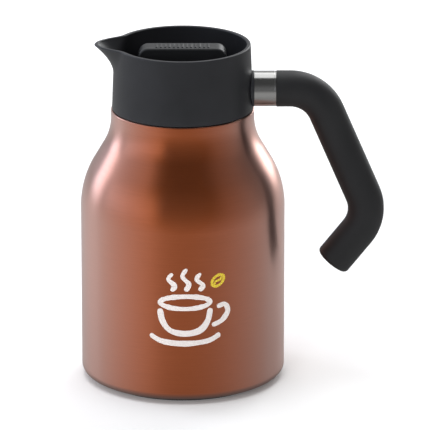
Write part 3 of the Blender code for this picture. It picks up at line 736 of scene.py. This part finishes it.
def grip_path():
    """Points and directions along the handle's centre line, from the ferrule to the free end."""
    lean_1, lean_2 = radians(LEG_1_LEAN), radians(LEG_2_LEAN)
    corner_1 = (BEND_1_X, HANDLE_Z)
    corner_2 = (corner_1[0] + LEG_1_DROP * tan(lean_1), HANDLE_Z - LEG_1_DROP)
    end = (corner_2[0] - LEG_2_DROP * tan(lean_2), corner_2[1] - LEG_2_DROP)
    headings = [0, LEG_1_LEAN - 90, -90 - LEG_2_LEAN]
    path = [(FERRULE_END_X + GAP, HANDLE_Z, headings[0])]
    for corner, before, after in zip((corner_1, corner_2), headings, headings[1:]):
        reach = BEND_R * tan(radians((before - after) / 2))
        heading = radians(before)
        start = (corner[0] - reach * cos(heading), corner[1] - reach * sin(heading))
        centre = (start[0] + BEND_R * sin(heading), start[1] - BEND_R * cos(heading))
        steps = 18
        bend = arc(centre, BEND_R, before + 90, after + 90, steps)
        path += between_stations(path[-1], (*bend[0], before))
        for i, point in enumerate(bend):
            path.append((*point, before + (after - before) * i / steps))
    path += between_stations(path[-1], (*end, headings[2]))
    path.append((*end, headings[2]))
    return path


def between_stations(first, last):
    """Stations at even steps along a straight stretch, its ends left out."""
    spacing = 5.0
    count = max(1, round(dist(first[:2], last[:2]) / spacing))
    stations = []
    for i in range(1, count):
        share = i / count
        x, z = (first[k] + (last[k] - first[k]) * share for k in (0, 1))
        stations.append((x, z, first[2]))
    return stations


def tube_ring(station, radius, back=0.0, groove=0.0):
    """A ring square to the handle's centre line, moved back along it, with a fine parting line."""
    x, z, heading = station
    heading = radians(heading)
    x, z = x - back * cos(heading), z - back * sin(heading)
    points = []
    for i in range(SMALL_ROUND):
        turn = tau * i / SMALL_ROUND
        here = radius - groove if i % (SMALL_ROUND // 2) == SMALL_ROUND // 4 else radius
        side = here * cos(turn)
        points.append((x - side * sin(heading), here * sin(turn), z + side * cos(heading)))
    return points


def handle_cover(material):
    path = grip_path()
    start, end = path[0], path[-1]
    start_edge, parting = 0.5, 0.07
    rings = [tube_ring(end, GRIP_BORE_R * share, GRIP_BORE_END_GAP) for share in (0.3, 0.7, 1.0)]
    rings += [tube_ring(station, GRIP_BORE_R) for station in reversed(path[:-1])]
    for depth, radius in arc((start_edge, GRIP_R - start_edge), start_edge, 180, 90, 4):
        rings.append(tube_ring(start, radius, -depth))
    rings += [tube_ring(station, GRIP_R, groove=parting) for station in path[1:-1]]
    for depth, radius in arc((GRIP_EDGE, GRIP_R - GRIP_EDGE), GRIP_EDGE, 90, 180, 10):
        rings.append(tube_ring(end, radius, depth))
    rings += [tube_ring(end, (GRIP_R - GRIP_EDGE) * share) for share in (0.7, 0.3)]
    add_piece("handle_cover", skin(rings, wrap=False), material, "body", "handle_grip", "soft_grip")


def handle_saddle(material):
    """The washer between collar and ferrule, hollowed to the collar's cone."""
    edge = 0.5
    back = ROOT_X - ROOT_DEPTH
    blank = rounded([(0, back), (ROOT_R, back), (ROOT_R, ROOT_X, edge), (0, ROOT_X)])
    low, high = COLLAR_Z - 1, TOP_Z + 1
    cone = [(0, low), (COLLAR_FOOT_R + GAP, low), (COLLAR_RIM_R + GAP, high), (0, high)]
    tools = [
        cut(turned(cone)),
        cut(rod(SCREW_R + GAP, THROUGH_START, THROUGH_END), ALONG_X),
    ]
    tools += pin_cuts(THROUGH_START, THROUGH_END)
    add_piece(
        "handle_saddle", turned(blank, SMALL_ROUND), material, "body", "handle_root_washer", "black_plastic",
        tools, *ALONG_X,
    )


def ferrule_ring(material):
    """The steel ferrule, with a fine bead rolled at the grip's end."""
    bore = FERRULE_R - FERRULE_WALL
    start, end = ROOT_X + TOUCH, FERRULE_END_X + GAP - TOUCH
    bead, groove, land = 0.7, 0.06, 0.12
    crisp, edge, round_edge = 0.05, 0.08, 0.2
    profile = rounded([
        (bore, start, round_edge),
        (FERRULE_R, start, crisp),
        (FERRULE_R, end - bead - 3 * land, edge),
        (FERRULE_R - groove, end - bead - 2 * land, edge),
        (FERRULE_R - groove, end - bead - land, edge),
        (FERRULE_R, end - bead, edge),
        (FERRULE_R, end, round_edge),
        (bore, end, round_edge),
    ], closed=True)
    add_piece(
        "ferrule_ring", turned(profile, SMALL_ROUND), material, "body", "handle_ferrule", "ferrule_steel",
        (), *ALONG_X,
    )


# ---- the stopper

def window(grow=0.0):
    """Outline of the pouring channel about its own centre, grown by a margin."""
    half_x, half_y = CHANNEL_HALF_X + grow, CHANNEL_HALF_Y + grow
    corner = CHANNEL_CORNER + grow
    signs = ((1, 1), (-1, 1), (-1, -1), (1, -1))
    return rounded([(x * half_x, y * half_y, corner) for x, y in signs], closed=True)


def channel_shape(grow=0.0, low=PLUG_BOTTOM_Z - 5, high=CAP_TOP_Z + 5):
    return prism([(x - CHANNEL_X, y) for x, y in window(grow)], low, high)


def stopper_housing(material):
    groove_r = PLUG_R - SEAL_GROOVE
    inner_r = PLUG_R - PLUG_WALL
    deck_z = FLANGE_TOP_Z - DECK
    bore_r = STEM_R + GAP
    edge = 0.3
    profile = rounded([
        (bore_r, PILLAR_Z, edge),
        (bore_r, FLANGE_TOP_Z, edge),
        (FLANGE_R, FLANGE_TOP_Z, edge),
        (FLANGE_R, FLANGE_Z, edge),
        (PLUG_R, FLANGE_Z, edge),
        (PLUG_R, SEAL_Z + SEAL_HALF, edge),
        (groove_r, SEAL_Z + SEAL_HALF, edge),
        (groove_r, SEAL_Z - SEAL_HALF, edge),
        (PLUG_R, SEAL_Z - SEAL_HALF, edge),
        (PLUG_R, PLUG_BOTTOM_Z, 0.8),
        (inner_r, PLUG_BOTTOM_Z, 0.4),
        (inner_r, deck_z, 0.8),
        (PILLAR_R, deck_z, 0.8),
        (PILLAR_R, PILLAR_Z, edge),
    ], closed=True)
    margin, clear = 2.0, 0.4
    first, last = STOP_ANGLE - margin, STOP_ANGLE + CAP_TRAVEL + margin
    notch = arc((0, 0), STOP_R - STOP_PIN_R - clear, first, last, 48)
    notch += arc((0, 0), FLANGE_R + 5, last, first, 12)
    tools = [
        join(channel_shape(CHANNEL_WALL, PLUG_BOTTOM_Z - 0.5, deck_z + DECK / 2)),
        cut(channel_shape()),
        cut(prism(notch, FLANGE_Z - 1, FLANGE_TOP_Z + 1)),
    ]
    add_piece("stopper_housing", turned(profile), material, "plug", "plug_housing", "black_plastic", tools)


def stopper_seal(material):
    back_r = PLUG_R - SEAL_GROOVE + GAP
    base_r, lip_r = PLUG_R + SEAL_STANDS_OUT, PLUG_R + SEAL_LIP
    low, high = SEAL_Z - SEAL_HALF + GAP, SEAL_Z + SEAL_HALF - GAP
    low_lip, low_root, high_root, high_lip = (SEAL_Z + offset for offset in (-2.2, -1.2, 1.6, 2.6))
    back_edge, edge, lip_edge, root = 0.2, 0.3, 0.35, 0.5
    profile = rounded([
        (back_r, low, back_edge),
        (base_r, low, edge),
        (lip_r, low_lip, lip_edge),
        (base_r, low_root, root),
        (base_r, high_root, root),
        (lip_r, high_lip, lip_edge),
        (base_r, high, edge),
        (back_r, high, back_edge),
    ], closed=True)
    add_piece("stopper_seal", turned(profile), material, "plug", "plug_seal", "silicone")


def stopper_cover(material):
    radius = PLUG_R - PLUG_WALL - GAP
    low = PLUG_BOTTOM_Z + GAP
    dip_start, dip_end, dip, edge = 12.0, 20.0, 0.4, 0.3
    profile = rounded([
        (0, low),
        (dip_start, low, edge),
        (dip_start + dip, low + dip, edge),
        (dip_end, low + dip, edge),
        (dip_end + dip, low, edge),
        (radius, low, 0.4),
        (radius, low + COVER, edge),
        (0, low + COVER),
    ])
    tools = [cut(channel_shape(CHANNEL_WALL + GAP))]
    add_piece("stopper_cover", turned(profile), material, "plug", "plug_bottom_cover", "black_plastic", tools)


def stopper_gasket(material):
    inner, outer = VALVE_GASKET_R
    low, high = FLANGE_TOP_Z + GAP, CAP_Z - GAP
    edge = 0.2
    corners = ((inner, low), (outer, low), (outer, high), (inner, high))
    profile = rounded([(*corner, edge) for corner in corners], closed=True)
    tools = [cut(channel_shape(0.5))]
    add_piece("stopper_gasket", turned(profile), material, "plug", "valve_gasket", "silicone", tools)


def bar_top(x):
    """Height of the ribs along the bar: 1 on a rib and 0 between ribs."""
    index = x / RIB_PITCH + (RIBS - 1) / 2
    nearest = min(max(round(index), 0), RIBS - 1)
    off = abs(index - nearest) * RIB_PITCH - RIB_WIDTH / 2
    return min(max(-off / RIB_SLOPE, 0.0), 1.0)


def bar_outline(inset, rib):
    """The grip bar from the front, as (x, z): ribs of a height on its top, its foot sunk in the disc."""
    corner = BAR_CORNER - inset
    half = BAR_HALF_X - BAR_CORNER
    centre_z = BAR_TOP_Z - RIB_HEIGHT - BAR_CORNER
    foot_z = CAP_TOP_Z - 0.5
    points = [(-BAR_HALF_X + inset, foot_z), (BAR_HALF_X - inset, foot_z)]
    points += arc((half, centre_z), corner, 0, 90, 14)
    steps = 340  # fine enough for the ribs' slopes
    for i in range(1, steps):
        x = half - 2 * half * i / steps
        points.append((x, centre_z + corner + rib * bar_top(x)))
    points += arc((-half, centre_z), corner, 90, 180, 14)
    return points


def grip_bar():
    """Outlines of the bar from its front to its back, each at (y, inset, rib height)."""
    stations = []
    for depth, inset in arc((BAR_BEVEL, BAR_BEVEL), BAR_BEVEL, 180, 270, 6):
        stations.append((depth - BAR_HALF_Y, inset, 0.0))
    stations += [(-RIB_HALF_Y - RIB_SLOPE, 0.0, 0.0), (-RIB_HALF_Y, 0.0, RIB_HEIGHT)]
    stations += [(-y, inset, rib) for y, inset, rib in reversed(stations)]
    return skin([[(x, y, z) for x, z in bar_outline(inset, rib)] for y, inset, rib in stations], wrap=False)


def turning_cap(material):
    edge, rim_edge = 0.3, 0.4
    groove_half, groove_mouth_half = 0.8, 1.0
    rim_in, dish_r, dish_mid_r = CAP_R - 2.6, CAP_R - 3.0, CAP_R - 12.0
    dish_z = CAP_TOP_Z - 0.4
    profile = rounded([
        (0, STEM_Z),
        (STEM_R, STEM_Z, rim_edge),
        (STEM_R, STEM_SEAL_Z - groove_mouth_half),
        (STEM_GROOVE_R, STEM_SEAL_Z - groove_half),
        (STEM_GROOVE_R, STEM_SEAL_Z + groove_half),
        (STEM_R, STEM_SEAL_Z + groove_mouth_half),
        (STEM_R, CAP_Z, edge),
        (CAP_R, CAP_Z, edge),
        (CAP_R, CAP_TOP_Z, rim_edge),
        (rim_in, CAP_TOP_Z, edge),
        (dish_r, dish_z, edge),
        (dish_mid_r, dish_z),
        (0, dish_z),
    ])
    pin_low, pin_high = FLANGE_Z + 0.4, (CAP_Z + CAP_TOP_Z) / 2
    stop_place = ((*polar(STOP_R, radians(STOP_ANGLE)), 0), (0, 0, 0))
    # At rest the window is a quarter turn short of the pouring channel.
    tools = [
        join(grip_bar()),
        join(rod(STOP_PIN_R, pin_low, pin_high), stop_place),
        cut(channel_shape(0.0, CAP_Z - 0.5, CAP_TOP_Z + 5), ((0, 0, 0), (0, 0, -CAP_TRAVEL))),
        cut(rod(SPINDLE_SCREW_R + GAP, STEM_Z - 2, SPINDLE_HOLE_TOP_Z)),
    ]
    add_piece("turning_cap", turned(profile), material, "cap", "cap_knob", "cap_plastic", tools)


# ---- the print

def spline(points, closed, step=0.35):
    """A smooth curve through points, read at even steps."""
    knots = [Vector(point) for point in points]
    count = len(knots)
    spans = count if closed else count - 1
    curve = []
    for i in range(spans):
        if closed:
            a, b, c, d = (knots[(i + k) % count] for k in (-1, 0, 1, 2))
        else:
            a, b, c, d = (knots[min(max(i + k, 0), count - 1)] for k in (-1, 0, 1, 2))
        slope, bend, twist = c - a, 2 * a - 5 * b + 4 * c - d, 3 * b - a - 3 * c + d
        steps = max(3, ceil((c - b).length / step))
        for j in range(steps):
            t = j / steps
            curve.append((2 * b + slope * t + bend * t**2 + twist * t**3) / 2)
    if not closed:
        curve.append(knots[-1])
    return curve


def on_body(u, v, height):
    """A point of the print: u along the wall from its centre, v up from its foot."""
    angle = (PRINT_X + u) / BODY_R
    radius = BODY_R + height
    return (radius * sin(angle), -radius * cos(angle), PRINT_Z + v)


def brush_width(share, width, seed):
    """Half the stroke's width along it, with the slow wobble of a brush."""
    wobble = 0.09 * sin(9.0 * share + seed) + 0.05 * sin(23.0 * share + 2.1 * seed)
    return width / 2 * (1 + wobble)


def stroke(mesh, points, width, seed, closed=False, taper=0.0):
    """A brush stroke as a thin closed solid on the body, with round ends where it is open."""
    blunt = 0.05
    curve = spline(points, closed)
    count = len(curve)
    left, right = [], []
    for i, point in enumerate(curve):
        before = curve[i - 1] if closed or i else curve[0]
        after = curve[(i + 1) % count] if closed or i < count - 1 else curve[-1]
        along = (after - before).normalized()
        across = Vector((-along.y, along.x))
        share = sin(tau * i / count) if closed else i / (count - 1)
        half = brush_width(share, width, seed)
        if not closed:
            from_end = min(i, count - 1 - i) * (curve[1] - curve[0]).length
            inward = min(1.0, (from_end + blunt) / (width / 2))
            half *= sqrt(inward * (2 - inward))
            half *= 1 - taper * share
        left.append(point + across * half)
        right.append(point - across * half)
    sides = []
    for height in (INK_LOW, INK_HIGH):
        rows = [[mesh.verts.new(on_body(p.x, p.y, height)) for p in row] for row in (left, right)]
        sides.append(rows)
    (low_left, low_right), (high_left, high_right) = sides
    spans = range(count) if closed else range(count - 1)
    for i in spans:
        j = (i + 1) % count
        mesh.faces.new((high_left[i], high_right[i], high_right[j], high_left[j]))
        mesh.faces.new((low_left[j], low_right[j], low_right[i], low_left[i]))
        mesh.faces.new((low_left[i], high_left[i], high_left[j], low_left[j]))
        mesh.faces.new((low_right[j], high_right[j], high_right[i], low_right[i]))
    if not closed:
        for i in (0, -1):
            mesh.faces.new((low_left[i], low_right[i], high_right[i], high_left[i]))


def placed(points, centre, tilt=0.0):
    """Points turned by a tilt in degrees and moved to a centre."""
    cosine, sine = cos(radians(tilt)), sin(radians(tilt))
    return [(centre[0] + x * cosine - y * sine, centre[1] + x * sine + y * cosine) for x, y in points]


def ellipse(half_x, half_y, count=14):
    angles = [tau * i / count for i in range(count)]
    return [(half_x * cos(a), half_y * sin(a)) for a in angles]


def print_on_body(white, accent):
    """A cup with its handle, saucer and steam in one ink, and a bean in the other."""
    cup = bmesh.new()
    bowl = [(-15.4, 23.4), (-13.5, 15.2), (-8.7, 9.6), (0, 7.8), (8.7, 9.6), (13.5, 15.2), (15.4, 23.4)]
    handle = [(19.5, 23.8), (24.5, 24.9), (26.5, 20.4), (22.7, 15.0), (16.3, 12.4)]
    saucer = [(-21.5, 6.6), (-14.0, 2.8), (0, 1.5), (14.0, 2.8), (21.5, 6.6)]
    wave = [(0, 0), (2.2, 0.3), (-1.6, 0.66), (1.0, 1.0)]
    rim_z, steam_z = 27.4, 34.8
    stroke(cup, placed(ellipse(15.0, 3.9), (CUP_U, rim_z)), 3.0, 1.0, closed=True)
    for number, (points, width) in enumerate(((bowl, 3.7), (handle, 3.2), (saucer, 3.4))):
        stroke(cup, placed(points, (CUP_U, 0)), width, 2.0 + number)
    for number, (u, rise) in enumerate(((-8.5, 11.0), (0, 14.0), (8.5, 11.0))):
        plume = [(side, rise * up) for side, up in wave]
        stroke(cup, placed(plume, (CUP_U + u, steam_z)), 3.2, 5.0 + number, taper=0.3)
    bmesh.ops.recalc_face_normals(cup, faces=cup.faces)
    add_piece("print_cup", cup, white, "body", None, "print_white")
    bean = bmesh.new()
    bean_centre, bean_tilt = (17.6, 40.4), 40
    crease = [(-3.4, -0.3), (-1.3, 0.5), (1.3, -0.5), (3.4, 0.3)]
    stroke(bean, placed(ellipse(4.3, 2.9), bean_centre, bean_tilt), 1.7, 1.5, closed=True)
    stroke(bean, placed(crease, bean_centre, bean_tilt), 1.3, 2.5)
    bmesh.ops.recalc_face_normals(bean, faces=bean.faces)
    add_piece("print_bean", bean, accent, "body", None, "print_accent")


# ---- the studio

def camera():
    """A long lens, far off and a little above, as at the product's own table."""
    aim = Vector((0.0196, 0.0, 0.1009))
    distance, elevation = 3.07, radians(17.77)
    data = bpy.data.cameras.new("camera")
    data.lens = 421.7
    data.sensor_width = 36.0
    obj = bpy.data.objects.new("camera", data)
    obj.location = aim + distance * Vector((0, -cos(elevation), sin(elevation)))
    obj.rotation_euler = (pi / 2 - elevation, 0, 0)
    bpy.context.scene.collection.objects.link(obj)
    bpy.context.scene.camera = obj


class Field:
    """Arithmetic on node sockets, for the studio's brightness."""

    def __init__(self, tree):
        self.tree = tree

    def value(self, operation, first, second=None):
        node = self.tree.nodes.new("ShaderNodeMath")
        node.operation = operation
        for source, socket in zip((first, second), node.inputs):
            if isinstance(source, (int, float)):
                socket.default_value = source
            elif source is not None:
                self.tree.links.new(source, socket)
        return node.outputs[0]

    def step(self, source, low, high, start=0.0, end=1.0):
        """Goes smoothly from start to end as the source goes from low to high."""
        node = self.tree.nodes.new("ShaderNodeMapRange")
        node.interpolation_type = "SMOOTHSTEP"
        for socket, value in (("From Min", low), ("From Max", high), ("To Min", start), ("To Max", end)):
            node.inputs[socket].default_value = value
        self.tree.links.new(source, node.inputs["Value"])
        return node.outputs["Result"]

    def add(self, *sources):
        total = sources[0]
        for source in sources[1:]:
            total = self.value("ADD", total, source)
        return total

    def times(self, *sources):
        total = sources[0]
        for source in sources[1:]:
            total = self.value("MULTIPLY", total, source)
        return total


def studio_panel(field, azimuth, elevation, centre, half, low, high, soft, level):
    """A lit panel, centre and half width in degrees from the front, low and high in degrees up."""
    return field.times(
        field.step(azimuth, centre - half - soft, centre - half + soft),
        field.step(azimuth, centre + half - soft, centre + half + soft, 1.0, 0.0),
        field.step(elevation, low - soft, low + soft),
        field.step(elevation, high - soft, high + soft, 1.0, 0.0),
        level,
    )


def studio():
    """The room: dim in front, soft panels at the sides, a pale wall behind and a softbox above."""
    world = bpy.data.worlds.new("studio")
    world.use_nodes = True
    bpy.context.scene.world = world
    tree = world.node_tree
    field = Field(tree)
    direction = tree.nodes.new("ShaderNodeSeparateXYZ")
    tree.links.new(tree.nodes.new("ShaderNodeTexCoord").outputs["Generated"], direction.inputs[0])
    x, y, z = direction.outputs
    per_radian = 180 / pi
    azimuth = field.times(field.value("ARCTAN2", x, field.times(y, -1.0)), per_radian)
    elevation = field.times(field.value("ARCSINE", z), per_radian)
    behind = field.step(y, 0.35, 0.9, 0.0, 0.36)
    softbox = field.times(
        field.step(elevation, 34, 46),
        field.step(y, -0.12, 0.05),
        field.step(field.times(x, x), 0.04, 0.20, 1.0, 0.0),
        1.5,
    )
    panels = [studio_panel(field, azimuth, elevation, *panel) for panel in PANELS]
    horizon = field.step(elevation, 10, 45, 0.10, 0.0)
    everywhere = 0.08
    level = field.add(everywhere, horizon, behind, softbox, *panels)
    background = tree.nodes["Background"]
    # The left side of the room is a little bluer.
    tint = tree.nodes.new("ShaderNodeMix")
    tint.data_type = "RGBA"
    tint.inputs[6].default_value = (0.98, 0.99, 1.0, 1.0)
    tint.inputs[7].default_value = (0.91, 0.97, 1.10, 1.0)
    tree.links.new(field.step(x, -0.2, -0.7), tint.inputs["Factor"])
    tree.links.new(tint.outputs[2], background.inputs["Color"])
    tree.links.new(level, background.inputs["Strength"])


def floor():
    """A pale floor that glows for the camera, and a dimmer stand-in glow that glossy surfaces mirror in its
    place: a painted reflection, dimmest round the jug's foot as a painted contact shadow.
    """
    size = 12.0
    mesh = bmesh.new()
    bmesh.ops.create_grid(mesh, x_segments=24, y_segments=24, size=size / 2)
    obj = add_mesh("floor", mesh)
    look = Look("floor", (0.93, 0.93, 0.93), 0.9, Emission_Color=(1.0, 1.0, 1.0, 1.0))
    tree, shader = look.tree, look.shader
    field = Field(tree)
    place = look.node("ShaderNodeSeparateXYZ")
    look.link(look.place, place.inputs[0])
    x, y, _ = place.outputs
    reach = field.value("SQRT", field.add(field.times(x, x), field.times(y, y)))
    # Painted light: the floor glows for the camera, more strongly beyond a quarter metre from the jug.
    look.link(field.step(reach, 0.25, 1.0, 0.11, 0.45), shader.inputs["Emission Strength"])
    # Painted shadow: the glow that glossy rays see darkens close round the jug's foot.
    touching = field.step(reach, 0.056, 0.078, 0.20, 0.88)
    nearby = field.step(reach, 0.08, 0.30, 0.80, 1.0)
    painted_contact_shadow = field.times(touching, nearby)
    sideways = field.value("DIVIDE", x, field.value("MAXIMUM", reach, 0.01))
    # Painted light: the mirrored glow is brighter towards the left side.
    left = field.step(sideways, -1.0, 0.1, 0.20, 0.0)
    far = field.step(reach, 0.5, 1.6, 1.0, 0.5)
    glow = look.node("ShaderNodeEmission")
    look.link(field.times(field.add(left, 0.52), painted_contact_shadow, far), glow.inputs["Strength"])
    path = look.node("ShaderNodeLightPath")
    mix = look.node("ShaderNodeMixShader")
    sources = (path.outputs["Is Glossy Ray"], shader.outputs[0], glow.outputs[0])
    for source, socket in zip(sources, mix.inputs):
        look.link(source, socket)
    look.link(mix.outputs[0], tree.nodes["Material Output"].inputs["Surface"])
    obj.data.materials.append(look.material)


def soft_light(name, place, aim, size, power):
    """A round light that the glossy surfaces don't mirror."""
    data = bpy.data.lights.new(name, "AREA")
    data.shape = "DISK"
    data.size = size
    data.energy = power
    obj = bpy.data.objects.new(name, data)
    obj.location = place
    obj.rotation_euler = (Vector(aim) - Vector(place)).to_track_quat("-Z", "Y").to_euler()
    obj.visible_glossy = False
    bpy.context.scene.collection.objects.link(obj)


def lights():
    middle = (0, 0, 0.1)
    soft_light("overhead", (-0.25, -0.35, 2.2), middle, 1.8, 25.5)
    soft_light("front", (-0.9, -2.6, 1.3), middle, 1.2, 19)


def main():
    copper = copper_look()
    steel = steel_look("brushed_steel", "Z")
    ferrule_steel = steel_look("brushed_ferrule", "X", (0.50, 0.495, 0.485), 0.22, 0.25, (1, 60, 60), 0.25)
    hardware = steel_look("turned_steel", "Z", (0.55, 0.54, 0.53), 0.33, 0.2, (20, 20, 1))
    black = plastic_look("satin_black", (0.0115, 0.012, 0.0145), 0.42, 0.35, 0.020)
    cap_black = plastic_look("cap_black", (0.010, 0.0105, 0.0115), 0.40, 0.35, 0.020)
    soft = soft_touch_look()
    silicone = silicone_look("silicone", (0.20, 0.20, 0.205))
    rubber = silicone_look("foot_rubber", (0.030, 0.030, 0.031), 0.62)
    brass = brass_look()
    foam = foam_look()
    white = ink_look("white_ink", (0.93, 0.86, 0.82), (0.85, 0.77, 0.73))
    accent = ink_look("yellow_ink", (0.80, 0.60, 0.02), (0.72, 0.48, 0.02))

    jug_body(copper)
    inner_flask(steel)
    base_pad(rubber)
    collar(black)
    collar_sleeve(black)
    handle_saddle(black)
    ferrule_ring(ferrule_steel)
    handle_cover(soft)
    stopper_housing(black)
    stopper_seal(silicone)
    stopper_cover(black)
    stopper_gasket(silicone)
    turning_cap(cap_black)
    print_on_body(white, accent)

    carried_over = (
        (steel, ("base_plate",)),
        (brass, ("vacuum_plug", "handle_insert")),
        (silicone, ("neck_gasket", "stem_seal")),
        (foam, ("plug_insulation",)),
        (hardware, (
            "getter", "handle_core", "handle_screw", "handle_spring_washer", "locating_pin_1",
            "locating_pin_2", "spindle_screw", "spindle_washer", "wave_spring",
        )),
    )
    for material, names in carried_over:
        for name in names:
            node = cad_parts[name]
            node.data.materials.clear()
            node.data.materials.append(material)

    floor()
    studio()
    lights()
    camera()
    bpy.context.scene.view_settings.view_transform = "Standard"


main()
